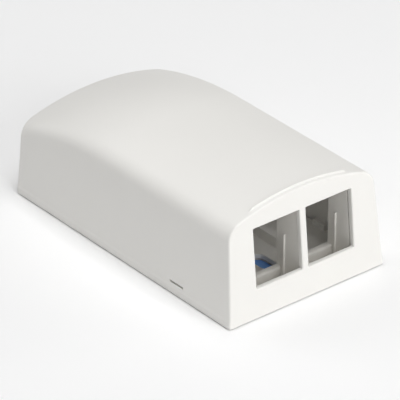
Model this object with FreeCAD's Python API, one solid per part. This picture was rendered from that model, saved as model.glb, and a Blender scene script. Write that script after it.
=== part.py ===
import FreeCAD, Part
import math
import os

# Two-port surface mount jack box: snap-on cover over an open base that is stuck
# or screwed to a wall, desk or skirting. Millimetres, +Z away from the wall.
# The origin is on the mounting plane, half way along the box; -Y is the port end.

V = FreeCAD.Vector
X, Y, Z = V(1, 0, 0), V(0, 1, 0), V(0, 0, 1)

# ---- driving dimensions ----------------------------------------------------
length = 86.0             # port end to rear end, over the skirt
width = 49.3              # across the skirt
crown_height = 29.5       # lower edge of the cover to the crown of the roof
side_draft = 3.7          # degrees
rake = 5.7                # degrees the port face leans back
arch_radius = 68.7        # roof, seen from the port end
level_run = 51.7          # crown stays level this far behind the port end
fall_radius = 96.8        # then curves down to the rear wall
shoulder_radius = 3.5     # roof into the side and rear walls
corner_radius = 1.2       # rear upright corners
side_wall = 1.6
rear_wall = 1.6
front_wall = 1.3
roof_wall = 1.8
band_height = 2.4         # skirt round the lower edge of sides and rear
band_step = 0.2
band_ease = 0.8           # slope from the band into the walls

port_width = 14.5         # snap-in jack opening
port_height = 16.1        # measured up the raked face
port_sill = 7.65          # lower edge of the cover to the openings
divider = 2.0             # between the two openings
port_bevel = 0.35

lip_half = 15.0           # raised finger lip on the roof, behind its front edge
lip_radius = 0.6
lip_proud = 0.45
lip_back = 1.1            # front edge of the crown to the middle of the lip

liner_thick = 0.15
pad_thick = 0.6
floor_thick = 1.3
fit_gap = 0.35            # base to the inside of the cover, all round
slot_width = 4.4          # mounting screw slots in the base
slot_length = 8.0
slot_front = 17.2         # port end to the centre of the front slot
slot_pitch = 46.0
pad_inset = 1.5           # pad back from the edge of the base
pad_hole_gap = 0.4        # pad back from the edges of the screw slots
liner_margin = 0.5        # liner out past the pad, to get hold of

plate_thick = 1.6         # upright plates beside the jacks
plate_end = 11.0          # port end to the rear edge of the plates
plate_top = 24.0
plate_gap = 0.7           # outer plates stand back from the front wall
jack_play = 0.2           # plates stand back from the opening edges
rib_back = 8.1            # port end to the middle of the jack stop ribs
rib_proud = 0.4
rib_width = 0.5
rib_top = 14.3
bar_depth = 1.8           # cross bar under the jacks
bar_top = 4.5
bar_round = 0.6
rail_offset = 6.7         # inner faces of the two floor rails
rail_thick = 1.6
rail_rise = 2.8
rail_start = 14.5
rail_end = 62.0
bridge_start = 49.0       # cable tie bridge between the rails
bridge_width = 4.0
bridge_thick = 1.2

latch_back = 20.8         # port end to the middle of the side latches
latch_height = 2.95       # lower edge of the cover to the middle of the slit
slit_length = 5.2
slit_height = 0.6
latch_play = 0.15
latch_reach = 0.45        # how far the catch enters the slit
catch_thick = 1.4

leg_thick = 1.0           # ribs inside the cover that rest on the base
leg_reach = 1.9
leg_top = 15.0
leg_places = (34.0, 54.0, 74.0)
rear_leg_offset = 15.0

breakout_width = 20.0     # scored cable breakout in the rear wall
breakout_height = 11.0
score_width = 0.6
score_depth = 0.7

fall_steps = 5            # slices of the roof along its fall
turn_steps = 6            # and round into the rear wall
shoulder_steps = 6

# ---- derived ---------------------------------------------------------------
cos_d = math.cos(math.radians(side_draft))
sin_d = math.sin(math.radians(side_draft))
tan_d = math.tan(math.radians(side_draft))
cos_r = math.cos(math.radians(rake))
tan_r = math.tan(math.radians(rake))
y_front = -length / 2
y_rear = length / 2 - band_step           # rear wall above the skirt
edge_z = liner_thick                      # lower edge of the cover
floor_z = liner_thick + pad_thick         # underside of the base
deck_z = floor_z + floor_thick            # top of the base floor
crown_z = edge_z + crown_height
latch_z = edge_z + latch_height
port_centre = (divider + port_width) / 2
plate_face = divider / 2 + port_width + jack_play
nip = 0.3                                 # joined bodies run into each other by this


def half_width(z, wall=0.0):
    """Half width inside a wall of this thickness at height z."""
    rise = z - edge_z - band_height
    return width / 2 - band_step - rise * tan_d - wall / cos_d


def face_y(z, wall=0.0):
    """Y of the port face, or of the back of its wall, at height z."""
    return y_front + (z - edge_z) * tan_r + wall / cos_r


def box(x0, x1, y0, y1, z0, z1):
    return Part.makeBox(x1 - x0, y1 - y0, z1 - z0, V(x0, y0, z0))


def mirrored(shape):
    return shape.mirror(V(0, 0, 0), X)


def both(shape):
    """The shape and its mirror image on the other side of the box."""
    return [shape, mirrored(shape)]


def frustum(low, high):
    """Flat-sided solid between two rings of points, anticlockwise seen from the high one."""
    rings = [low[::-1], high]
    for i in range(len(low)):
        j = (i + 1) % len(low)
        rings.append([low[i], low[j], high[j], high[i]])
    return Part.Solid(Part.Shell([Part.Face(Part.makePolygon(r + r[:1])) for r in rings]))


def tub(side, front, rear, z0, z1):
    """Block between the drafted side walls, the raked face and the rear wall."""
    rings = []
    for z in (z0, z1):
        half = half_width(z, side)
        near, far = face_y(z, front), y_rear - rear
        rings.append([V(-half, near, z), V(half, near, z), V(half, far, z), V(-half, far, z)])
    return frustum(*rings)


def upright_edges(solid, rear_only):
    """Edges that climb between the walls of a block."""
    return [e for e in solid.Edges
            if e.BoundBox.ZLength > max(e.BoundBox.XLength, e.BoundBox.YLength)
            and (e.BoundBox.YMin > 0 or not rear_only)]


def crown_at(y, rear, roof, radius):
    """Crown height: level, then a falling arc, then rounded down into the rear wall."""
    fall = fall_radius - roof
    start = y_front + level_run
    ball_y = y_rear - rear - radius
    drop_z = crown_z - roof - fall
    ball_z = drop_z + math.sqrt((fall - radius) ** 2 - (ball_y - start) ** 2)
    touch_y = start + (ball_y - start) * fall / (fall - radius)
    if y <= start:
        return crown_z - roof
    if y <= touch_y:
        return drop_z + math.sqrt(fall ** 2 - (y - start) ** 2)
    return ball_z + math.sqrt(max(0.0, radius ** 2 - (y - ball_y) ** 2))


def section(y, side, rear, roof, radius, turn_radius, corner, z0):
    """Slice across the box: a foot on the floor plane, then points from the top of
    one side wall round its shoulder, over the roof and down to the other wall."""
    turn = max(0.0, y - (y_rear - rear) + corner)
    inset = corner - math.sqrt(max(0.0, corner ** 2 - turn ** 2))
    arch = arch_radius - roof
    top = V(0, y, crown_at(y, rear, roof, turn_radius))
    middle = top - Z * arch
    out, up = V(cos_d, 0, sin_d), V(-sin_d, 0, cos_d)
    base = out * ((half_width(0, side) - inset) * cos_d - radius) + Y * y
    b = (base - middle).dot(up)
    c = (base - middle).dot(base - middle) - (arch - radius) ** 2
    centre = base + up * (math.sqrt(b * b - c) - b)
    lean = math.atan2((centre - middle).x, (centre - middle).z)
    first = math.pi / 2 - math.radians(side_draft)
    points = []
    for i in range(shoulder_steps + 1):
        angle = first + (lean - first) * i / shoulder_steps
        points.append(centre + V(math.sin(angle), 0, math.cos(angle)) * radius)
    for t in (0.95, 0.85, 0.6, 0.3):
        points.append(middle + V(math.sin(lean * t), 0, math.cos(lean * t)) * arch)
    foot = V(half_width(z0, side) - inset, y, z0)
    return foot, points + [top] + [V(-p.x, p.y, p.z) for p in reversed(points)]


def front_trim(front):
    """Everything in front of the raked face, or of the back of its wall."""
    space = Part.makeBox(2 * width, length, 3 * crown_height, V(-width, -length, -crown_height))
    space.Placement = FreeCAD.Placement(V(0, face_y(0, front), 0), FreeCAD.Rotation(X, -rake))
    return space


def spacing(points):
    """Running distance along a line of points, as curve parameters."""
    marks = [0.0]
    for p, q in zip(points, points[1:]):
        marks.append(marks[-1] + p.distanceToPoint(q))
    return marks


def smooth_surface(rows):
    """Surface through a grid of points, interpolated across and then along."""
    across_marks = spacing(rows[0])
    along_marks = spacing([row[len(row) // 2] for row in rows])
    across, along = Part.BSplineCurve(), Part.BSplineCurve()
    row_poles = []
    for row in rows:
        across.interpolate(Points=row, Parameters=across_marks)
        row_poles.append(across.getPoles())
    poles = []
    for line in zip(*row_poles):
        along.interpolate(Points=list(line), Parameters=along_marks)
        poles.append(along.getPoles())
    surface = Part.BSplineSurface()
    surface.buildFromPolesMultsKnots(
        poles, across.getMultiplicities(), along.getMultiplicities(),
        across.getKnots(), along.getKnots(), False, False, across.Degree, along.Degree)
    return surface, across_marks, along_marks


def flat_face(edges):
    return Part.Face(Part.Wire(Part.sortEdges(edges)[0]))


def closed_skin(feet, rows, breaks, front_y):
    """Solid under a smooth roof on straight walls: ruled forward from the first
    break to the front, and following the slices between the other breaks."""
    surface, across, along = smooth_surface(rows)
    last = len(across) - 1
    us = [across[i] for i in (0, shoulder_steps, last - shoulder_steps, last)]
    spans = list(zip(us, us[1:]))
    vs = [along[i] for i in breaks]
    run = Y * (front_y - rows[breaks[0]][0].y)
    mirror = [V(-p.x, p.y, p.z) for p in feet]
    first = [surface.vIso(vs[0]).toShape(u, u_next) for u, u_next in spans]
    faces = [edge.extrude(run) for edge in first]
    floor = []
    for line, side in ((feet, 0), (mirror, -1)):
        low, high = line[breaks[0]], rows[breaks[0]][side]
        ring = [low, high, high + run, low + run, low]
        faces.append(Part.Face(Part.makePolygon(ring)))
        floor.append(Part.makeLine(low, low + run))
        foot = Part.BSplineCurve()
        foot.interpolate(Points=line, Parameters=along)
        for v, v_next in zip(vs, vs[1:]):
            edge = foot.toShape(v, v_next)
            rim = surface.uIso(us[side]).toShape(v, v_next)
            faces.append(Part.makeRuledSurface(edge, rim))
            floor.append(edge)
    for v, v_next in zip(vs, vs[1:]):
        for u, u_next in spans:
            patch = surface.copy()
            patch.segment(u, u_next, v, v_next)
            faces.append(patch.toShape())
    rear = [surface.vIso(vs[-1]).toShape(u, u_next) for u, u_next in spans]
    for edges, i, shift in ((first, breaks[0], run), (rear, -1, V())):
        a, b = feet[i] + shift, mirror[i] + shift
        sill = Part.makeLine(a, b)
        floor.append(sill)
        edges = [e.translated(shift) for e in edges]
        edges += [sill, Part.makeLine(a, rows[i][0] + shift), Part.makeLine(b, rows[i][-1] + shift)]
        faces.append(flat_face(edges))
    faces.append(flat_face(floor))
    shell = Part.Shell(faces)
    shell.sewShape()
    solid = Part.Solid(shell)
    return solid if solid.Volume > 0 else solid.reversed()


def hull(side, front, rear, roof, z0, shoulder, turn, corner):
    """Outer form of the cover, or its hollow, from the wall thicknesses."""
    start = y_front + level_run
    far = y_rear - rear
    fall = far - turn - start
    ys = [start - 6, start - 3]
    ys += [start + fall * i / fall_steps for i in range(fall_steps + 1)]
    breaks = [2, len(ys) - 1]
    if turn:
        angles = [math.pi / 2 * i / turn_steps for i in range(1, turn_steps + 1)]
        ys += [far - turn + turn * math.sin(angle) for angle in angles]
        breaks.append(len(ys) - 1)
    feet, rows = zip(*[section(y, side, rear, roof, shoulder, turn, corner, z0) for y in ys])
    return closed_skin(feet, rows, breaks, y_front - 1).cut(front_trim(front))


def skirt():
    """Upright band round the lower edge, eased into the drafted walls above."""
    half = width / 2
    rings = []
    heights = (edge_z, edge_z + band_height - band_ease, edge_z + band_height)
    for z, out in zip(heights, (band_step, band_step, 0.0)):
        near = face_y(z)
        far = y_rear + out
        side = half - band_step + out
        rings.append([V(-side, near, z), V(side, near, z), V(side, far, z), V(-side, far, z)])
    lower = frustum(rings[0], rings[1])
    lower = lower.makeFillet(corner_radius, upright_edges(lower, True))
    return [lower, frustum(rings[1], rings[2]).common(rounded_column())]


def rounded_column():
    """Tall block with the plan of the skirt and its rounded rear corners."""
    column = box(-width / 2, width / 2, y_front, length / 2, 0, crown_height)
    return column.makeFillet(corner_radius, upright_edges(column, True))


def on_face(shape, x):
    """Stands a shape built round the origin on the raked face at a port sill."""
    z = edge_z + port_sill
    shape.Placement = FreeCAD.Placement(V(x, face_y(z), z), FreeCAD.Rotation(X, -rake))
    return shape


def port_cut(x):
    """One jack opening: straight through the wall, bevelled at the front."""
    half, b = port_width / 2, port_bevel
    straight = box(-half, half, -1, front_wall + 1, 0, port_height)
    front, back = [], []
    for y, out, ring in ((-b, 2 * b, front), (b, 0.0, back)):
        for cx, cz in ((-1, 0), (-1, 1), (1, 1), (1, 0)):
            ring.append(V(cx * (half + out), y, cz * port_height + (2 * cz - 1) * out))
    return on_face(straight.fuse(frustum(front, back)), x)


def finger_lip():
    """Round-ended bead that follows the roof just behind its front edge."""
    reach = arch_radius + lip_proud - lip_radius
    centre = V(0, face_y(crown_z) + lip_back, crown_z - arch_radius)
    lean = math.degrees(math.asin(lip_half / reach))
    end = Part.Face(Part.Wire(Part.makeCircle(lip_radius, centre + Z * reach, X)))
    end.rotate(centre, Y, -lean)
    drop = math.sqrt(reach ** 2 - lip_half ** 2)
    noses = [Part.makeSphere(lip_radius, centre + V(s * lip_half, 0, drop)) for s in (-1, 1)]
    return end.revolve(centre, Y, 2 * lean).fuse(noses)


def slit_cut():
    y = y_front + latch_back
    return box(width / 2 - 4, width / 2 + 1, y - slit_length / 2, y + slit_length / 2,
               latch_z - slit_height / 2, latch_z + slit_height / 2)


def breakout_score():
    """Groove on the rear wall along which the cable breakout snaps out."""
    half, top = breakout_width / 2, edge_z + breakout_height
    y0, y1 = y_rear - score_depth, y_rear + 2
    frame = box(-half, half, y0, y1, edge_z - 1, top)
    inner = box(-half + score_width, half - score_width, y0, y1, edge_z - 2, top - score_width)
    return frame.cut(inner)


def cover_legs():
    """Ribs on the side and rear walls whose feet stand on the base floor."""
    legs = []
    half = half_width(deck_z, side_wall) - leg_reach
    for place in leg_places:
        y = y_front + place
        legs += both(box(half, width / 2, y, y + leg_thick, deck_z, edge_z + leg_top))
    far = y_rear - rear_wall - leg_reach
    legs += both(box(rear_leg_offset, rear_leg_offset + leg_thick,
                     far, y_rear, deck_z, edge_z + leg_top))
    return legs


def cover():
    outer = hull(0, 0, 0, 0, edge_z, shoulder_radius, shoulder_radius, corner_radius)
    hollow = hull(side_wall, front_wall, rear_wall, roof_wall, -1,
                  shoulder_radius - side_wall, 0, 0)
    legs = [leg.common(outer) for leg in cover_legs()]
    shell = outer.fuse(skirt()).removeSplitter().cut(hollow)
    shell = shell.fuse(legs + [finger_lip()])
    cuts = [port_cut(-port_centre), port_cut(port_centre), breakout_score()]
    return shell.cut(cuts + both(slit_cut()))


def slot_cut(y, grow, z0, z1):
    """Round-ended screw slot along the box."""
    radius = slot_width / 2 + grow
    reach = (slot_length - slot_width) / 2
    ends = [Part.makeCylinder(radius, z1 - z0, V(0, y + s * reach, z0)) for s in (-1, 1)]
    return ends[0].fuse([ends[1], box(-radius, radius, y - reach, y + reach, z0, z1)])


def slot_cuts(grow, z0, z1):
    first = y_front + slot_front
    return [slot_cut(first + i * slot_pitch, grow, z0, z1) for i in range(2)]


def port_plate(x0, x1, gap):
    """Upright plate beside a jack; its front edge follows the raked face."""
    z0, z1 = deck_z - nip, edge_z + plate_top
    far = y_front + plate_end
    rings = []
    for x in (x0, x1):
        rings.append([V(x, face_y(z0, front_wall + gap), z0), V(x, far, z0),
                      V(x, far, z1), V(x, face_y(z1, front_wall + gap), z1)])
    return frustum(*rings)


def jack_ribs():
    """Two stop ribs in each bay, one on either plate."""
    y = y_front + rib_back
    ribs = []
    for x in (plate_thick / 2, plate_face - rib_proud):
        ribs += both(box(x - nip * (x < port_centre), x + rib_proud + nip * (x > port_centre),
                         y - rib_width / 2, y + rib_width / 2, deck_z - nip, edge_z + rib_top))
    return ribs


def cross_bar():
    far = y_front + plate_end
    reach = plate_face + plate_thick
    bar = box(-reach, reach, far - bar_depth, far, deck_z - nip, edge_z + bar_top)
    edge = [e for e in bar.Edges if e.BoundBox.XLength > 1
            and e.BoundBox.YMax < far - 1 and e.BoundBox.ZMin > deck_z]
    return bar.makeFillet(bar_round, edge)


def catch():
    """Side latch: a stub on the floor edge whose nose enters the cover slit."""
    y = y_front + latch_back
    half = slit_length / 2 - 2 * latch_play
    root = half_width(deck_z, side_wall) - fit_gap - catch_thick
    face = half_width(latch_z + slit_height, side_wall) - fit_gap
    nose = half_width(latch_z, side_wall) + latch_reach
    thick = slit_height / 2 - latch_play
    stub = box(root, face, y - half, y + half, deck_z - nip, latch_z + slit_height)
    return stub.fuse(box(root, nose, y - half, y + half, latch_z - thick, latch_z + thick))


def base():
    floor = tub(side_wall + fit_gap, front_wall + fit_gap, rear_wall + fit_gap, floor_z, deck_z)
    floor = floor.makeFillet(corner_radius, floor_uprights(floor))
    parts = [port_plate(-plate_thick / 2, plate_thick / 2, fit_gap), cross_bar()]
    parts += both(port_plate(plate_face, plate_face + plate_thick, plate_gap))
    parts += jack_ribs()
    parts += both(box(rail_offset, rail_offset + rail_thick, y_front + rail_start,
                      y_front + rail_end, deck_z - nip, deck_z + rail_rise))
    y = y_front + bridge_start
    parts.append(box(-rail_offset - nip, rail_offset + nip, y, y + bridge_width,
                     deck_z + rail_rise - bridge_thick, deck_z + rail_rise))
    parts += both(catch())
    return floor.fuse(parts).removeSplitter().cut(slot_cuts(0, floor_z - 1, deck_z + 1))


def floor_uprights(block):
    return [e for e in block.Edges if e.BoundBox.ZLength > floor_thick / 2]


def pad_outline(grow, z0, z1):
    """Rectangle with clipped corners under the base floor."""
    half = half_width(floor_z, side_wall) - fit_gap - pad_inset + grow
    near = face_y(floor_z, front_wall) + fit_gap + pad_inset - grow
    far = y_rear - rear_wall - fit_gap - pad_inset + grow
    sheet = box(-half, half, near, far, z0, z1)
    return sheet.makeChamfer(2 * corner_radius, [e for e in sheet.Edges if e.BoundBox.ZLength > 0.1])


def adhesive_pad():
    pad = pad_outline(0, liner_thick, floor_z)
    return pad.cut(slot_cuts(pad_hole_gap, 0, deck_z))


def release_liner():
    return pad_outline(liner_margin, 0, liner_thick)


nodes = {
    "cover": cover,
    "base": base,
    "adhesive_pad": adhesive_pad,
    "release_liner": release_liner,
}

os.makedirs("parts", exist_ok=True)
for name, build in nodes.items():
    shape = build()
    if shape.ShapeType == "Compound" and len(shape.Solids) == 1:
        shape = shape.Solids[0]
    shape.exportStep("parts/" + name + ".step")
    print(name, shape.ShapeType, shape.isValid(), len(shape.Solids), round(shape.Volume, 1),
          len(shape.Faces), shape.BoundBox)
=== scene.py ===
import math

import bmesh
import bpy
from bpy.props import FloatProperty, FloatVectorProperty, IntProperty, PointerProperty
from mathutils import Matrix, Vector, noise


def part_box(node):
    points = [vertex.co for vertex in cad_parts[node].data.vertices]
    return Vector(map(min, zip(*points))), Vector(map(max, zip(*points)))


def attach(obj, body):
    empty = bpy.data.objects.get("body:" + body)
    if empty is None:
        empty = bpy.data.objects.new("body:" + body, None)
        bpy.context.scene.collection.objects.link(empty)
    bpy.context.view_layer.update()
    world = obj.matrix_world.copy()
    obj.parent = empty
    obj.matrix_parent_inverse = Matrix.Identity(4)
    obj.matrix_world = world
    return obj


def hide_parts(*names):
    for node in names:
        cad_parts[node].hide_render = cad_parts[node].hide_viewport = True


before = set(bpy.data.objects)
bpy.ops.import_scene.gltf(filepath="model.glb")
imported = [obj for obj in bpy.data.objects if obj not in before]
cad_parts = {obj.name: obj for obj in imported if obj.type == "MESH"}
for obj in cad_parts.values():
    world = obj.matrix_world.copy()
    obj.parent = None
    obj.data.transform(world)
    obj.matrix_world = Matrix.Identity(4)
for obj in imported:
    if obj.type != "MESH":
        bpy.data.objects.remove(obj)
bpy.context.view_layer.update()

bl_info = {
    "name": "Surface mount jack box",
    "version": (1, 0, 0),
    "blender": (4, 5, 0),
    "location": "View3D > Sidebar > Jack Box",
    "description": "Moulded cover, base, foam pad and film of a two-port jack box",
    "category": "Object",
}

COVER_LOW, COVER_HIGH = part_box("cover")
MM = 0.001
DECK_Z = 2.05 * MM                    # where the legs end, just over the base floor
SHARP_ANGLE = math.radians(32)        # edges steeper than this stay crisp
FLAT_WEIGHT = 90                      # how strongly large faces set the shading

# Steps along each part of the cover, in the hollow and in the outer form.
SHOULDER_STEPS = (5, 12)
ARCH_STEPS = (12, 48)
FALL_STEPS = (9, 18)
BAND_STEPS = 6
WALL_STEPS = 6
RIM_STEPS = 7
TURN_STEPS = 14
LIP_FRONT_STEPS = 10
LIP_BACK_STEPS = 8
LEVEL_STEPS = 5
LEVEL_END = 5 * MM                    # the last even row stops this far before the fall
RIM_GAP = 0.02                        # share of the rim kept clear before the first row


# ---- settings ---------------------------------------------------------------
def colour(name, description, default):
    return FloatVectorProperty(name=name, description=description, default=default,
                               subtype="COLOR", size=3, min=0.0, max=1.0)


def length(name, description, default):
    """A length given in millimetres and kept in metres."""
    return FloatProperty(name=name, description=description, default=default * MM,
                         subtype="DISTANCE", unit="LENGTH", precision=5)


def angle(name, description, default):
    return FloatProperty(name=name, description=description, default=math.radians(default),
                         subtype="ANGLE", unit="ROTATION")


def count(name, description, default):
    return IntProperty(name=name, description=description, default=default, min=1)


class JackBoxCover(bpy.types.PropertyGroup):
    crown_height: length("Crown height", "Lower edge to the crown of the roof", 29.5)
    side_draft: angle("Side draft", "Lean of the side walls", 3.7)
    rake: angle("Rake", "Lean of the port face", 5.7)
    arch_radius: length("Arch radius", "Roof, seen from the port end", 68.7)
    level_run: length("Level run", "Length of the level part of the roof", 51.7)
    fall_radius: length("Fall radius", "Roof, down to the rear wall", 96.8)
    shoulder_radius: length("Shoulder radius", "Roof into the side walls", 5.0)
    turn_radius: length("Turn radius", "Roof into the rear wall", 3.5)
    corner_radius: length("Corner radius", "Rear upright corners, at the skirt", 1.2)
    corner_top: length("Upper corner radius", "Rear upright corners, at the shoulder", 2.0)
    rim_radius: length("Rim radius", "Walls and roof into the port face", 0.55)
    side_wall: length("Side wall", "Thickness of the side walls", 1.6)
    rear_wall: length("Rear wall", "Thickness of the rear wall", 1.6)
    front_wall: length("Front wall", "Thickness of the port face", 1.3)
    roof_wall: length("Roof wall", "Thickness of the roof", 1.8)
    band_height: length("Band height", "Skirt round the lower edge", 2.4)
    band_ease: length("Band ease", "Slope from the skirt into the walls", 1.2)
    band_step: length("Band step", "How far the skirt stands proud", 0.2)


class JackBoxPorts(bpy.types.PropertyGroup):
    width: length("Width", "Width of a jack opening", 14.5)
    height: length("Height", "Height of a jack opening up the face", 16.1)
    sill: length("Sill", "Lower edge of the cover to the openings", 7.65)
    divider: length("Divider", "Bar between the openings", 2.0)
    edge: length("Edge", "Rounding round each opening", 0.35)
    corner: length("Corner", "Corners of each opening", 0.25)
    slit_back: length("Slit place", "Port end to the middle of the side slits", 20.8)
    slit_height: length("Slit height", "Lower edge to the middle of the side slits", 2.95)
    slit_length: length("Slit length", "Length of a side slit", 5.2)
    slit_gap: length("Slit gap", "Height of a side slit", 0.6)
    score_width: length("Score width", "Groove round the cable breakout", 0.6)
    score_depth: length("Score depth", "Depth of the breakout groove", 0.7)
    breakout_width: length("Breakout width", "Cable breakout in the rear wall", 20.0)
    breakout_height: length("Breakout height", "Lower edge to the top of the breakout", 11.0)


class JackBoxLip(bpy.types.PropertyGroup):
    half: length("Half length", "Middle of the roof to the end of the finger lip", 15.4)
    proud: length("Proud", "Rise of the lip over the roof", 0.448)
    foot: length("Foot", "Front edge of the roof to the foot of the lip", 1.0)
    rise: length("Rise", "Run of the front of the lip", 0.5)
    crest: length("Crest", "Width of the rounded top", 0.12)
    ramp: length("Ramp", "Run of the back of the lip", 0.35)
    nose: length("Nose", "Run out at each end of the lip", 1.0)


class JackBoxLegs(bpy.types.PropertyGroup):
    first: length("First", "Port end to the first pair of legs", 34.0)
    spacing: length("Spacing", "From one pair to the next", 20.0)
    pairs: count("Pairs", "Pairs of legs on the side walls", 3)
    thick: length("Thickness", "Thickness of a leg", 1.0)
    reach: length("Reach", "How far a foot reaches over the base", 1.9)
    top: length("Top", "Lower edge of the cover to the top of the legs", 15.0)
    rear_offset: length("Rear offset", "Middle to the legs on the rear wall", 15.5)


class JackBoxPad(bpy.types.PropertyGroup):
    slot_width: length("Slot width", "Cut-out round a screw slot", 4.6)
    slot_length: length("Slot length", "Length of that cut-out", 8.2)
    slot_front: length("Slot place", "Port end to the front cut-out", 17.2)
    slot_pitch: length("Slot pitch", "From one cut-out to the other", 46.0)
    corner: length("Clipped corner", "Corners of the pad", 2.4)
    pinch: length("Pinch", "How far the blade draws in the faces along a cut", 0.09)
    ripple: length("Ripple", "Unevenness of the cut edges", 0.04)
    step: length("Step", "Spacing of the points round a cut", 0.8)


class JackBoxBase(bpy.types.PropertyGroup):
    edge: length("Edge", "Rounding of the moulded edges", 0.12)


class JackBoxFinish(bpy.types.PropertyGroup):
    cover: colour("Cover", "Colour of the moulded cover", (0.88, 0.868, 0.835))
    base: colour("Base", "Colour of the moulded base", (0.88, 0.862, 0.82))
    foam: colour("Foam", "Colour of the adhesive foam", (0.62, 0.57, 0.50))
    film: colour("Film", "Colour of the release film", (0.21, 0.45, 1.0))


class JackBoxStage(bpy.types.PropertyGroup):
    azimuth: angle("Azimuth", "Camera bearing round the box", -39.23)
    elevation: angle("Elevation", "Camera height above the horizon", 30.17)
    distance: length("Distance", "Camera distance from the point it aims at", 975.6)
    lens: FloatProperty(name="Lens", description="Focal length on a 36 mm sensor",
                        default=352.2, subtype="DISTANCE_CAMERA")
    floor: colour("Floor", "Colour of the plain floor", (0.96, 0.96, 0.96))


# ---- mesh helpers -----------------------------------------------------------
def link(name, mesh):
    piece = bpy.data.objects.new(name, mesh)
    bpy.context.scene.collection.objects.link(piece)
    return piece


def mesh_from(name, verts, faces):
    """Closed mesh with its faces turned outwards."""
    mesh = bpy.data.meshes.new(name)
    mesh.from_pydata([tuple(v) for v in verts], [], faces)
    form = bmesh.new()
    form.from_mesh(mesh)
    bmesh.ops.remove_doubles(form, verts=form.verts, dist=1e-7)
    bmesh.ops.recalc_face_normals(form, faces=form.faces)
    form.to_mesh(mesh)
    form.free()
    return mesh


def loft(name, rings):
    """Solid through rings of as many points each, closed by its first and last ring."""
    n = len(rings[0])
    verts = [p for ring in rings for p in ring]
    faces = [list(range(n)), list(range(len(verts) - n, len(verts)))]
    for r in range(len(rings) - 1):
        for i in range(n):
            j = (i + 1) % n
            faces.append([r * n + i, r * n + j, (r + 1) * n + j, (r + 1) * n + i])
    return mesh_from(name, verts, faces)


def block(name, low, high):
    (x0, y0, z0), (x1, y1, z1) = low, high
    return loft(name, [[(x0, y0, z), (x1, y0, z), (x1, y1, z), (x0, y1, z)] for z in (z0, z1)])


def walk_round(corners, step):
    """Points at even steps round a closed outline, each with its outward direction."""
    points = []
    for i, start in enumerate(corners):
        end = corners[(i + 1) % len(corners)]
        along = end - start
        out = Vector((along.y, -along.x)).normalized()
        steps = max(1, round(along.length / step))
        points += [(start + along * k / steps, out) for k in range(steps)]
    return points


def smooth_step(t):
    t = min(1.0, max(0.0, t))
    return t * t * (3 - 2 * t)


def spread(start, end, steps):
    return [start + (end - start) * i / steps for i in range(steps + 1)]


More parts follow.
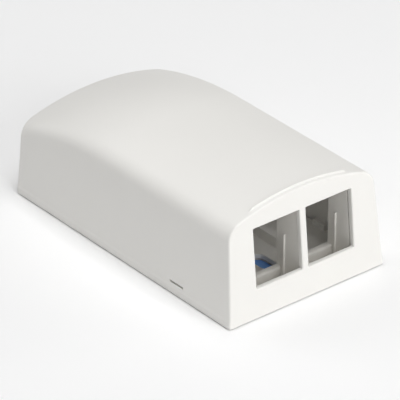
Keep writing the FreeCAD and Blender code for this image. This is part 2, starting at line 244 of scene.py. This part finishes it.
# ---- form of the cover ------------------------------------------------------
class CoverForm:
    """Outer form of the cover or, with wall thicknesses, the hollow inside it."""

    def __init__(self, sizes, lip=None, walls=(0.0, 0.0, 0.0, 0.0), fine=True):
        self.sizes, self.lip, self.fine = sizes, lip, fine
        self.side, self.front, self.rear, self.roof = walls
        self.edge_z = COVER_LOW.z
        self.y_front = COVER_LOW.y
        self.y_rear = COVER_HIGH.y - sizes.band_step
        self.half = COVER_HIGH.x
        self.crown_z = self.edge_z + sizes.crown_height
        self.far = self.y_rear - self.rear
        self.start = self.y_front + sizes.level_run
        self.shoulder = sizes.shoulder_radius - self.side
        self.turn = sizes.turn_radius if fine else 0.0
        self.corner = sizes.corner_radius if fine else 0.0
        self.corner_top = sizes.corner_top if fine else 0.0
        self.foot_z = self.edge_z if fine else -MM

    def half_width(self, z):
        draft = self.sizes.side_draft
        rise = z - self.edge_z - self.sizes.band_height
        return (self.half - self.sizes.band_step - rise * math.tan(draft)
                - self.side / math.cos(draft))

    def face_y(self, z, depth=0.0):
        rake = self.sizes.rake
        return self.y_front + (z - self.edge_z) * math.tan(rake) + depth / math.cos(rake)

    def crown_at(self, y):
        """Crown height: level, then a falling arc, then rounded into the rear wall."""
        fall = self.sizes.fall_radius - self.roof
        ball_y = self.far - self.turn
        drop_z = self.crown_z - self.roof - fall
        ball_z = drop_z + math.sqrt((fall - self.turn) ** 2 - (ball_y - self.start) ** 2)
        touch_y = self.start + (ball_y - self.start) * fall / (fall - self.turn)
        if y <= self.start:
            return self.crown_z - self.roof
        if y <= touch_y:
            return drop_z + math.sqrt(fall ** 2 - (y - self.start) ** 2)
        return ball_z + math.sqrt(max(0.0, self.turn ** 2 - (y - ball_y) ** 2))

    def band(self, z):
        """How far the skirt stands out from the side walls and from the rear wall."""
        sizes = self.sizes
        top = self.edge_z + sizes.band_height
        share = 1 - smooth_step((z - top + sizes.band_ease) / sizes.band_ease)
        return (self.half - self.half_width(z)) * share, sizes.band_step * share

    def inset(self, y, radius):
        """How far a rear corner of this radius draws the side wall in at y."""
        reach = min(radius, max(0.0, y - self.far + radius))
        return radius - math.sqrt(radius ** 2 - reach ** 2)

    def profile(self, y):
        """Half a slice across the box, from its foot to the crown, with its normals."""
        sizes = self.sizes
        draft = sizes.side_draft
        inset = self.inset(y, self.corner_top)
        arch = sizes.arch_radius - self.roof
        middle = Vector((0.0, self.crown_at(y) - arch))
        out = Vector((math.cos(draft), math.sin(draft)))
        up = Vector((-out.y, out.x))
        base = out * ((self.half_width(0.0) - inset) * out.x - self.shoulder)
        b = (base - middle).dot(up)
        c = (base - middle).length_squared - (arch - self.shoulder) ** 2
        centre = base + up * (math.sqrt(b * b - c) - b)
        lean = math.atan2(centre.x, centre.y - middle.y)
        turned = math.pi / 2 - draft
        first = centre + out * self.shoulder
        heights = [self.foot_z]
        top = self.edge_z + sizes.band_height
        if self.fine:
            heights += spread(top - sizes.band_ease, top, BAND_STEPS)
        heights += spread(heights[-1], first.y, WALL_STEPS)[1:-1]
        line = []
        for z in heights:
            share = max(0.0, (z - top) / (first.y - top))
            radius = self.corner + (self.corner_top - self.corner) * share
            line.append((Vector((self.half_width(z) - self.inset(y, radius), z)), out))
        for a in spread(turned, lean, SHOULDER_STEPS[self.fine]):
            normal = Vector((math.sin(a), math.cos(a)))
            line.append((centre + normal * self.shoulder, normal))
        for a in spread(lean, 0.0, ARCH_STEPS[self.fine])[1:]:
            normal = Vector((math.sin(a), math.cos(a)))
            line.append((middle + normal * arch, normal))
        if not self.corner:
            return line, 0.0
        wrap = min(self.corner, max(0.0, y - self.far + self.corner))
        return line, math.asin(wrap / self.corner)

    def across(self, row):
        """A whole slice from half of one: left foot, over the crown, to the right foot."""
        return [Vector((-p.x, p.y, p.z)) for p in row] + row[-2::-1]

    def skirted(self, p, wrap_angle):
        if not self.fine or p.z > self.edge_z + self.sizes.band_height:
            return p
        side, rear = self.band(p.z)
        return p + Vector((side * math.cos(wrap_angle), rear * math.sin(wrap_angle), 0.0))

    def lipped(self, p, back):
        """Raises the roof into the finger lip, back being the run from its front edge."""
        lip = self.lip
        if lip is None or abs(p.x) > lip.half or back < lip.foot:
            return p
        run = back - lip.foot
        rear = run - lip.rise - lip.crest
        height = smooth_step(run / lip.rise) * (1 - smooth_step(rear / lip.ramp))
        height *= smooth_step((lip.half - abs(p.x)) / lip.nose)
        return p + Vector((0.0, 0.0, height * lip.proud))

    def front_rows(self):
        """Rim rolled between the port face and the walls, then the run back to level."""
        rake, rim = self.sizes.rake, self.sizes.rim_radius
        facing = Vector((0.0, -math.cos(rake), math.sin(rake)))
        line, _ = self.profile(self.start)
        if not self.fine:
            return [[Vector((p.x, self.face_y(p.y, self.front), p.y)) for p, _ in line]]
        rows = []
        for t in spread(1.0, 0.0, RIM_STEPS):
            row = []
            for p, normal in line:
                outward = Vector((normal.x, 0.0, normal.y))
                core = Vector((p.x, 0.0, p.y)) - outward * rim
                core.y = self.face_y(core.z, rim)
                row.append(core + outward.slerp(facing, t) * rim)
            drop = self.edge_z - row[0].z
            row[0] += Vector((0.0, drop * math.tan(rake), drop))
            rows.append([self.skirted(p, 0.0) for p in row])
        return rows

    def straight_rows(self):
        """Level part of the roof, with close rows where the finger lip rises."""
        lip = self.lip
        if lip is None:
            return []
        line, _ = self.profile(self.start)
        gap = self.sizes.rim_radius * RIM_GAP
        crest_end = lip.foot + lip.rise + lip.crest
        end = crest_end + lip.ramp
        backs = spread(lip.foot, crest_end, LIP_FRONT_STEPS)
        backs += spread(backs[-1], end, LIP_BACK_STEPS)[1:]
        backs += spread(end, self.sizes.level_run - LEVEL_END, LEVEL_STEPS)[1:-1]
        rows = []
        for back in backs:
            row = []
            for p, _ in line:
                y = self.face_y(p.y) + back + gap
                row.append(self.skirted(self.lipped(Vector((p.x, y, p.y)), back), 0.0))
            rows.append(row)
        return rows

    def falling_rows(self):
        """Roof as it falls and then turns down into the rear wall."""
        ys = spread(self.start, self.far - self.turn, FALL_STEPS[self.fine])
        if self.turn:
            turns = spread(0.0, math.pi / 2, TURN_STEPS)[1:]
            ys += [self.far - self.turn + self.turn * math.sin(a) for a in turns]
        rows = []
        for y in ys:
            line, wrap_angle = self.profile(y)
            rows.append([self.skirted(Vector((p.x, y, p.y)), wrap_angle) for p, _ in line])
        return rows

    def mesh(self, name):
        """Closed mesh through all the slices, with the ends and the underside filled."""
        rows = self.front_rows() + self.straight_rows() + self.falling_rows()
        rows = [self.across(row) for row in rows]
        width, last = len(rows[0]), len(rows) - 1

        def at(row, i):
            return row * width + i

        faces = []
        for r in range(last):
            for i in range(width - 1):
                faces.append([at(r, i), at(r, i + 1), at(r + 1, i + 1), at(r + 1, i)])
        left = [at(r, 0) for r in range(last + 1)]
        right = [at(r, width - 1) for r in range(last, -1, -1)]
        faces.append(left + right)
        faces.append([at(0, i) for i in range(width)])
        band = BAND_STEPS + 1 if self.fine else 0
        for i in range(band):
            j = width - 1 - i
            faces.append([at(last, i), at(last, i + 1), at(last, j - 1), at(last, j)])
        faces.append([at(last, i) for i in range(band, width - band)])
        return mesh_from(name, [p for row in rows for p in row], faces)


# ---- cutters and legs -------------------------------------------------------
def rounded_rectangle(width, height, radius, out, steps=3):
    """Corner arcs of an upright opening that stands on the sill, grown by out."""
    half, radius = width / 2 + out, radius + out
    points = []
    for sx, sz, first in ((1, 1, 0), (-1, 1, 90), (-1, 0, 180), (1, 0, 270)):
        cx = sx * (half - radius)
        cz = (height + out - radius) if sz else (radius - out)
        for i in range(steps + 1):
            a = math.radians(first + 90 * i / steps)
            points.append((cx + radius * math.cos(a), cz + radius * math.sin(a)))
    return points


def port_cutter(form, ports):
    """One jack opening with rounded edges, square to the raked face."""
    r = ports.edge
    profile = [(-MM, r)]
    for a in (12, 30, 50, 70, 90):
        roll = math.radians(a)
        profile.append((r - r * math.cos(roll), r - r * math.sin(roll)))
    profile.append((form.sizes.front_wall + MM, 0.0))
    turn = Matrix.Rotation(-form.sizes.rake, 3, "X")
    z = form.edge_z + ports.sill
    foot = Vector((0.0, form.face_y(z), z))
    rings = []
    for depth, out in profile:
        ring = rounded_rectangle(ports.width, ports.height, ports.corner, out)
        rings.append([foot + turn @ Vector((x, depth, up)) for x, up in ring])
    return loft("port_cutter", rings)


def slit_cutter(form, ports):
    y, z = form.y_front + ports.slit_back, form.edge_z + ports.slit_height
    dy, dz = ports.slit_length / 2, ports.slit_gap / 2
    reach = form.half + MM
    return block("slit_cutter", (-reach, y - dy, z - dz), (reach, y + dy, z + dz))


def score_cutter(form, ports):
    """Groove round the cable breakout, open at the lower edge."""
    half, top = ports.breakout_width / 2, form.edge_z + ports.breakout_height
    w, low = ports.score_width, -MM
    outline = [(-half, low), (-half, top), (half, top), (half, low),
               (half - w, low), (half - w, top - w), (-half + w, top - w), (-half + w, low)]
    ys = (form.y_rear - ports.score_depth, form.y_rear + 2 * MM)
    return loft("score_cutter", [[(x, y, z) for x, z in outline] for y in ys])


def side_leg(form, legs):
    """Leg on the right wall, centred on its own plane."""
    sizes = form.sizes
    inner = form.half_width(DECK_Z) - sizes.side_wall / math.cos(sizes.side_draft) - legs.reach
    t = legs.thick / 2
    rings = []
    for z in (DECK_Z, form.edge_z + legs.top):
        outer = form.half_width(z) - sizes.side_wall / 2
        rings.append([(inner, -t, z), (outer, -t, z), (outer, t, z), (inner, t, z)])
    return loft("side_leg", rings)


def rear_leg(form, legs):
    wall = form.sizes.rear_wall
    t = legs.thick / 2
    return block("rear_leg", (-t, form.y_rear - wall - legs.reach, DECK_Z),
                 (t, form.y_rear - wall / 2, form.edge_z + legs.top))


# ---- geometry nodes ---------------------------------------------------------
class Tree:
    """Small helper that wires up a geometry node tree."""

    def __init__(self, name):
        self.group = bpy.data.node_groups.new(name, "GeometryNodeTree")
        self.group.interface.new_socket("Geometry", in_out="OUTPUT",
                                        socket_type="NodeSocketGeometry")
        self.identifiers = {}
        self.inputs = self.group.nodes.new("NodeGroupInput")
        self.output = self.group.nodes.new("NodeGroupOutput")

    def input(self, name, kind):
        socket = self.group.interface.new_socket(name, in_out="INPUT", socket_type=kind)
        self.identifiers[name] = socket.identifier
        return self.inputs.outputs[name]

    def add(self, kind, values=None, **settings):
        """A node with its properties set, and its inputs set or linked by name."""
        node = self.group.nodes.new(kind)
        for key, value in settings.items():
            setattr(node, key, value)
        for key, value in (values or {}).items():
            socket = node.inputs[key]
            for item in value if isinstance(value, list) else [value]:
                if isinstance(item, bpy.types.NodeSocket):
                    self.group.links.new(item, socket)
                else:
                    socket.default_value = item
        return node

    def piece(self, name):
        """Geometry of an object handed in by name."""
        info = self.add("GeometryNodeObjectInfo", {"Object": self.input(name, "NodeSocketObject")})
        return info.outputs["Geometry"]

    def repeat(self, piece, points, rotation=(0.0, 0.0, 0.0)):
        copies = self.add("GeometryNodeInstanceOnPoints",
                          {"Points": points, "Instance": piece, "Rotation": rotation})
        return copies.outputs["Instances"]

    def line(self, number, start, step):
        points = self.add("GeometryNodeMeshLine", {"Count": number, "Start Location": start,
                                                   "Offset": step})
        return points.outputs["Mesh"]

    def vector(self, **parts):
        return self.add("ShaderNodeCombineXYZ", parts).outputs["Vector"]

    def scaled(self, value, factor):
        node = self.add("ShaderNodeMath", operation="MULTIPLY")
        self.group.links.new(value, node.inputs[0])
        node.inputs[1].default_value = factor
        return node.outputs["Value"]

    def boolean(self, operation, first, others):
        """Union, or the first piece with the others cut out of it."""
        node = self.add("GeometryNodeMeshBoolean", operation=operation, solver="EXACT")
        if operation == "UNION":
            others = [first] + others
        else:
            self.group.links.new(first, node.inputs["Mesh 1"])
        for other in others:
            self.group.links.new(other, node.inputs["Mesh 2"])
        return node.outputs["Mesh"]

    def realized(self, geometry):
        return self.add("GeometryNodeRealizeInstances",
                        {"Geometry": geometry}).outputs["Geometry"]

    def finish(self, geometry, material):
        done = self.add("GeometryNodeSetMaterial",
                        {"Geometry": self.realized(geometry), "Material": material})
        self.group.links.new(done.outputs["Geometry"], self.output.inputs["Geometry"])

    def bake(self, name, values):
        """Runs the tree on a new object and keeps the result as a plain mesh."""
        piece = link(name, bpy.data.meshes.new(name))
        modifier = piece.modifiers.new("nodes", "NODES")
        modifier.node_group = self.group
        for key, value in values.items():
            modifier[self.identifiers[key]] = value
        graph = bpy.context.evaluated_depsgraph_get()
        graph.update()
        mesh = bpy.data.meshes.new_from_object(piece.evaluated_get(graph),
                                               preserve_all_data_layers=True, depsgraph=graph)
        piece.modifiers.clear()
        piece.data = mesh
        return piece


def cover_tree():
    """Hollows the cover, stands its legs inside and cuts its openings."""
    tree = Tree("Hollow, legs and openings")
    outer, hollow = tree.piece("Outer form"), tree.piece("Hollow form")
    leg, rear = tree.piece("Side leg"), tree.piece("Rear leg")
    port, slit, score = (tree.piece(n) for n in ("Port cutter", "Slit cutter", "Score cutter"))
    first = tree.input("First leg", "NodeSocketFloat")
    spacing = tree.input("Leg spacing", "NodeSocketFloat")
    pairs = tree.input("Leg pairs", "NodeSocketInt")
    rear_offset = tree.input("Rear leg offset", "NodeSocketFloat")
    port_pitch = tree.input("Port pitch", "NodeSocketFloat")
    material = tree.input("Material", "NodeSocketMaterial")
    places = tree.line(pairs, tree.vector(Y=first), tree.vector(Y=spacing))
    legs = [tree.repeat(leg, places), tree.repeat(leg, places, (0.0, 0.0, math.pi))]
    pair = tree.line(2, tree.vector(X=tree.scaled(rear_offset, -1.0)),
                     tree.vector(X=tree.scaled(rear_offset, 2.0)))
    legs.append(tree.repeat(rear, pair))
    ports = tree.repeat(port, tree.line(2, tree.vector(X=tree.scaled(port_pitch, -0.5)),
                                        tree.vector(X=port_pitch)))
    shell = tree.boolean("DIFFERENCE", outer, [hollow])
    shell = tree.boolean("UNION", shell, [tree.realized(g) for g in legs])
    shell = tree.boolean("DIFFERENCE", shell, [tree.realized(ports), slit, score])
    tree.finish(shell, material)
    return tree


def add_cover(scene):
    sizes, ports = scene.jack_box_cover, scene.jack_box_ports
    legs = scene.jack_box_legs
    walls = (sizes.side_wall, sizes.front_wall, sizes.rear_wall, sizes.roof_wall)
    outer = CoverForm(sizes, scene.jack_box_lip)
    hollow = CoverForm(sizes, walls=walls, fine=False)
    forms = {
        "Outer form": outer.mesh("outer_form"),
        "Hollow form": hollow.mesh("hollow_form"),
        "Side leg": side_leg(outer, legs),
        "Rear leg": rear_leg(outer, legs),
        "Port cutter": port_cutter(outer, ports),
        "Slit cutter": slit_cutter(outer, ports),
        "Score cutter": score_cutter(outer, ports),
    }
    values = {name: link(mesh.name, mesh) for name, mesh in forms.items()}
    helpers = list(values.values())
    values["First leg"] = outer.y_front + legs.first + legs.thick / 2
    values["Leg spacing"] = legs.spacing
    values["Leg pairs"] = legs.pairs
    values["Rear leg offset"] = legs.rear_offset
    values["Port pitch"] = ports.divider + ports.width
    values["Material"] = moulded_plastic("cover_plastic_finish", scene.jack_box_finish.cover)
    cover = cover_tree().bake("cover_shell", values)
    for helper in helpers:
        bpy.data.objects.remove(helper)
    soften(cover)
    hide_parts("cover")
    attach(cover, "cover")


def soften(piece):
    """Smooth shading that stays crisp at true edges and flat on large faces."""
    piece.data.shade_smooth()
    piece.data.set_sharp_from_angle(angle=SHARP_ANGLE)
    modifier = piece.modifiers.new("flat_faces", "WEIGHTED_NORMAL")
    modifier.keep_sharp = True
    modifier.weight = FLAT_WEIGHT


# ---- base -------------------------------------------------------------------
def finish_base(scene):
    """Joins up the carried-over base and rounds its edges."""
    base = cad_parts["base"]
    joined = base.modifiers.new("joined", "WELD")
    joined.merge_threshold = 0.001 * MM
    rounded = base.modifiers.new("rounded", "BEVEL")
    rounded.width = scene.jack_box_base.edge
    rounded.segments = 3
    rounded.limit_method = "ANGLE"
    rounded.angle_limit = math.radians(40)
    rounded.use_clamp_overlap = False
    smooth = base.modifiers.new("smooth", "WEIGHTED_NORMAL")
    smooth.keep_sharp = True
    smooth.weight = FLAT_WEIGHT
    dress(base, moulded_plastic("base_plastic_finish", scene.jack_box_finish.base, 0.45))


# ---- foam pad ---------------------------------------------------------------
LEVELS = (0.0, 0.12, 0.35, 0.65, 0.88, 1.0)      # shares of the pad's thickness


def cut_rings(points, low, high, settings, side):
    """Rings up a die-cut wall: faces pinched back by the blade, foam uneven between."""
    rings = []
    for share in LEVELS:
        z = low + (high - low) * share
        ring = []
        for p, out in points:
            rough = noise.noise(Vector((p.x, p.y, 3 * z)) / settings.step)
            back = settings.pinch * (2 * share - 1) ** 2 + settings.ripple * (0.5 + 0.5 * rough)
            q = p - out * back * side
            ring.append((q.x, q.y, z))
        rings.append(ring)
    return rings


def pad_form(settings):
    """Sheet of foam with clipped corners and soft cut edges."""
    low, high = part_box("adhesive_pad")
    c = settings.corner
    corners = []
    for sx, sy in ((1, -1), (1, 1), (-1, 1), (-1, -1)):
        corner = Vector((high.x if sx > 0 else low.x, high.y if sy > 0 else low.y))
        clips = [corner - Vector((sx * c, 0)), corner - Vector((0, sy * c))]
        corners += clips if sx * sy < 0 else clips[::-1]
    return loft("pad_form", cut_rings(walk_round(corners, settings.step),
                                      low.z, high.z, settings, 1))


def slot_form(settings):
    """Cutter for the foam round a screw slot, centred across the pad."""
    low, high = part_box("adhesive_pad")
    radius = settings.slot_width / 2
    reach = settings.slot_length / 2 - radius
    ring = []
    for end, first in ((1, 0), (-1, 180)):
        for i in range(13):
            a = math.radians(first + 15 * i)
            out = Vector((math.cos(a), math.sin(a)))
            ring.append((out * radius + Vector((0, end * reach)), out))
    rings = cut_rings(ring, low.z, high.z, settings, -1)
    rings.insert(0, [(x, y, low.z - MM) for x, y, _ in rings[0]])
    rings.append([(x, y, high.z + MM) for x, y, _ in rings[-1]])
    return loft("slot_form", rings)


def pad_tree():
    """Cuts the row of screw slots out of the foam."""
    tree = Tree("Slots in the foam")
    sheet, slot = tree.piece("Sheet"), tree.piece("Slot")
    first = tree.input("First slot", "NodeSocketFloat")
    pitch = tree.input("Slot pitch", "NodeSocketFloat")
    material = tree.input("Material", "NodeSocketMaterial")
    places = tree.line(2, tree.vector(Y=first), tree.vector(Y=pitch))
    cut = tree.boolean("DIFFERENCE", sheet, [tree.realized(tree.repeat(slot, places))])
    tree.finish(cut, material)
    return tree


def add_pad(scene):
    settings = scene.jack_box_pad
    values = {"Sheet": link("pad_form", pad_form(settings)),
              "Slot": link("slot_form", slot_form(settings))}
    helpers = list(values.values())
    values["First slot"] = COVER_LOW.y + settings.slot_front
    values["Slot pitch"] = settings.slot_pitch
    values["Material"] = foam("foam_finish", scene.jack_box_finish.foam)
    pad = pad_tree().bake("foam_pad", values)
    for helper in helpers:
        bpy.data.objects.remove(helper)
    soften(pad)
    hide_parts("adhesive_pad")
    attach(pad, "base")


# ---- materials --------------------------------------------------------------
def new_material(name):
    material = bpy.data.materials.new(name)
    material.use_nodes = True
    tree = material.node_tree
    tree.nodes.clear()
    shader = tree.nodes.new("ShaderNodeBsdfPrincipled")
    output = tree.nodes.new("ShaderNodeOutputMaterial")
    tree.links.new(shader.outputs["BSDF"], output.inputs["Surface"])
    return material, tree, shader


def placed(tree, kind, scale):
    """Texture of this kind over the piece's own coordinates."""
    place = tree.nodes.new("ShaderNodeTexCoord")
    texture = tree.nodes.new(kind)
    texture.inputs["Scale"].default_value = scale
    tree.links.new(place.outputs["Object"], texture.inputs["Vector"])
    return texture


def noise_texture(tree, scale, detail=2.0, roughness=0.5):
    texture = placed(tree, "ShaderNodeTexNoise", scale)
    texture.inputs["Detail"].default_value = detail
    texture.inputs["Roughness"].default_value = roughness
    return texture.outputs["Fac"]


def vary_colour(tree, shader, fac, tint, low, high):
    """Base colour that drifts between two strengths of one tint."""
    ramp = tree.nodes.new("ShaderNodeValToRGB")
    for stop, share, place in zip(ramp.color_ramp.elements, (low, high), (0.3, 0.7)):
        stop.position = place
        stop.color = (*(share * c for c in tint), 1.0)
    tree.links.new(fac, ramp.inputs["Fac"])
    tree.links.new(ramp.outputs["Color"], shader.inputs["Base Color"])


def vary_roughness(tree, shader, fac, low, high):
    span = tree.nodes.new("ShaderNodeMapRange")
    span.inputs["To Min"].default_value = low
    span.inputs["To Max"].default_value = high
    tree.links.new(fac, span.inputs["Value"])
    tree.links.new(span.outputs["Result"], shader.inputs["Roughness"])


def add_relief(tree, shader, height, distance, strength):
    bump = tree.nodes.new("ShaderNodeBump")
    bump.inputs["Strength"].default_value = strength
    bump.inputs["Distance"].default_value = distance
    tree.links.new(height, bump.inputs["Height"])
    tree.links.new(bump.outputs["Normal"], shader.inputs["Normal"])


def moulded_plastic(name, tint, roughness=0.42):
    """Satin white plastic with the fine grain of an etched mould."""
    material, tree, shader = new_material(name)
    vary_colour(tree, shader, noise_texture(tree, 45.0, 3.0), tint, 0.985, 1.0)
    vary_roughness(tree, shader, noise_texture(tree, 130.0), roughness - 0.05, roughness + 0.05)
    add_relief(tree, shader, noise_texture(tree, 3800.0, 3.0, 0.6), 0.02 * MM, 0.12)
    shader.inputs["IOR"].default_value = 1.5
    return material


def foam(name, tint):
    """Dull closed-cell foam, its cut edge open with fine cells."""
    material, tree, shader = new_material(name)
    vary_colour(tree, shader, noise_texture(tree, 900.0, 4.0), tint, 0.75, 1.1)
    shader.inputs["Roughness"].default_value = 0.9
    cells = placed(tree, "ShaderNodeTexVoronoi", 5500.0)
    add_relief(tree, shader, cells.outputs["Distance"], 0.06 * MM, 0.6)
    return material


def release_film(name, tint):
    """Glossy tinted film, a little uneven where it lies on the adhesive."""
    material, tree, shader = new_material(name)
    vary_colour(tree, shader, noise_texture(tree, 120.0, 3.0), tint, 0.9, 1.05)
    vary_roughness(tree, shader, noise_texture(tree, 400.0), 0.14, 0.26)
    add_relief(tree, shader, noise_texture(tree, 260.0, 2.0, 0.4), 0.12 * MM, 0.25)
    return material


def dress(piece, material):
    piece.data.materials.clear()
    piece.data.materials.append(material)


# ---- stage ------------------------------------------------------------------
def add_floor(tint):
    half, z = 3.0, -0.2 * MM
    corners = [(-half, -half, z), (half, -half, z), (half, half, z), (-half, half, z)]
    mesh = bpy.data.meshes.new("floor")
    mesh.from_pydata(corners, [], [(0, 1, 2, 3)])
    floor = link("floor", mesh)
    material, tree, shader = new_material("floor_paper")
    shader.inputs["Base Color"].default_value = (*tint, 1.0)
    shader.inputs["Roughness"].default_value = 0.9
    dress(floor, material)


# name, azimuth and elevation in degrees, watts
LIGHTS = (
    ("key", 0, 22, 4.2),
    ("mid_front", 0, 40, 1.0),
    ("upper_front", 0, 74, 4.85),
    ("rear", -180, 58, 2.6),
    ("low_right", 60, 8, 3.4),
    ("overhead", 0, 88, 4.1),
    ("rear_left", -150, 22, 2.05),
    ("low_left", -30, 22, 1.65),
)
LIGHT_DISTANCE = 1.2
LIGHT_SIZE = 0.7
LIGHT_TARGET = Vector((0, 0, 10)) * MM
VIEW_CENTRE = Vector((0, -3.0, 12.15)) * MM
AIM_SIDE = 1.022 * MM                 # the camera looks this far beside the centre
AIM_DOWN = 2.523 * MM                 # and this far below it


def bearing(azimuth, elevation):
    """Direction from the box out to a camera or lamp."""
    level = math.cos(elevation)
    return Vector((math.sin(azimuth) * level, -math.cos(azimuth) * level, math.sin(elevation)))


def add_light(name, azimuth, elevation, energy):
    back = bearing(math.radians(azimuth), math.radians(elevation))
    data = bpy.data.lights.new(name, "AREA")
    data.shape = "SQUARE"
    data.size = LIGHT_SIZE
    data.energy = energy
    lamp = link(name, data)
    lamp.location = LIGHT_TARGET + back * LIGHT_DISTANCE
    lamp.rotation_mode = "QUATERNION"
    lamp.rotation_quaternion = (-back).to_track_quat("-Z", "Y")


def add_camera(settings):
    back = bearing(settings.azimuth, settings.elevation)
    right = Vector((math.cos(settings.azimuth), math.sin(settings.azimuth), 0.0))
    aim = VIEW_CENTRE - right * AIM_SIDE - back.cross(right) * AIM_DOWN
    data = bpy.data.cameras.new("camera")
    data.sensor_width = 36.0
    data.lens = settings.lens
    data.clip_start, data.clip_end = 0.05, 20.0
    camera = link("camera", data)
    camera.location = VIEW_CENTRE + back * settings.distance
    camera.rotation_mode = "QUATERNION"
    camera.rotation_quaternion = (aim - camera.location).to_track_quat("-Z", "Y")
    bpy.context.scene.camera = camera


# ---- operators --------------------------------------------------------------
class JACKBOX_OT_cover(bpy.types.Operator):
    """Builds the moulded cover with its openings, finger lip and legs"""
    bl_idname = "jackbox.cover"
    bl_label = "Cover"

    def execute(self, context):
        add_cover(context.scene)
        return {"FINISHED"}


class JACKBOX_OT_base(bpy.types.Operator):
    """Rounds the edges of the moulded base and gives it its finish"""
    bl_idname = "jackbox.base"
    bl_label = "Base"

    def execute(self, context):
        finish_base(context.scene)
        return {"FINISHED"}


class JACKBOX_OT_pad(bpy.types.Operator):
    """Builds the die-cut foam pad under the base"""
    bl_idname = "jackbox.pad"
    bl_label = "Foam pad"

    def execute(self, context):
        add_pad(context.scene)
        return {"FINISHED"}


class JACKBOX_OT_liner(bpy.types.Operator):
    """Gives the release film its finish"""
    bl_idname = "jackbox.liner"
    bl_label = "Release film"

    def execute(self, context):
        film = release_film("film_finish", context.scene.jack_box_finish.film)
        dress(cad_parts["release_liner"], film)
        return {"FINISHED"}


class JACKBOX_OT_stage(bpy.types.Operator):
    """Sets out the floor, the lights and the camera"""
    bl_idname = "jackbox.stage"
    bl_label = "Stage"

    def execute(self, context):
        settings = context.scene.jack_box_stage
        add_floor(settings.floor)
        for light in LIGHTS:
            add_light(*light)
        world = bpy.data.worlds.new("studio")
        world.use_nodes = True
        world.node_tree.nodes["Background"].inputs["Strength"].default_value = 0.0
        context.scene.world = world
        context.scene.view_settings.view_transform = "Standard"
        add_camera(settings)
        return {"FINISHED"}


class JACKBOX_PT_panel(bpy.types.Panel):
    """Jack box pieces"""
    bl_idname = "JACKBOX_PT_panel"
    bl_label = "Jack Box"
    bl_space_type = "VIEW_3D"
    bl_region_type = "UI"
    bl_category = "Jack Box"

    def draw(self, context):
        for step in STEPS:
            self.layout.operator(step.bl_idname)


STEPS = (JACKBOX_OT_cover, JACKBOX_OT_base, JACKBOX_OT_pad, JACKBOX_OT_liner, JACKBOX_OT_stage)
SETTINGS = {
    "jack_box_cover": JackBoxCover,
    "jack_box_ports": JackBoxPorts,
    "jack_box_lip": JackBoxLip,
    "jack_box_legs": JackBoxLegs,
    "jack_box_base": JackBoxBase,
    "jack_box_pad": JackBoxPad,
    "jack_box_finish": JackBoxFinish,
    "jack_box_stage": JackBoxStage,
}
CLASSES = tuple(SETTINGS.values()) + STEPS + (JACKBOX_PT_panel,)


def register():
    for cls in CLASSES:
        bpy.utils.register_class(cls)
    for name, group in SETTINGS.items():
        setattr(bpy.types.Scene, name, PointerProperty(type=group))


def unregister():
    for name in SETTINGS:
        delattr(bpy.types.Scene, name)
    for cls in reversed(CLASSES):
        bpy.utils.unregister_class(cls)


def main():
    register()
    bpy.ops.jackbox.cover()
    bpy.ops.jackbox.base()
    bpy.ops.jackbox.pad()
    bpy.ops.jackbox.liner()
    bpy.ops.jackbox.stage()


if __name__ == "__main__":
    main()
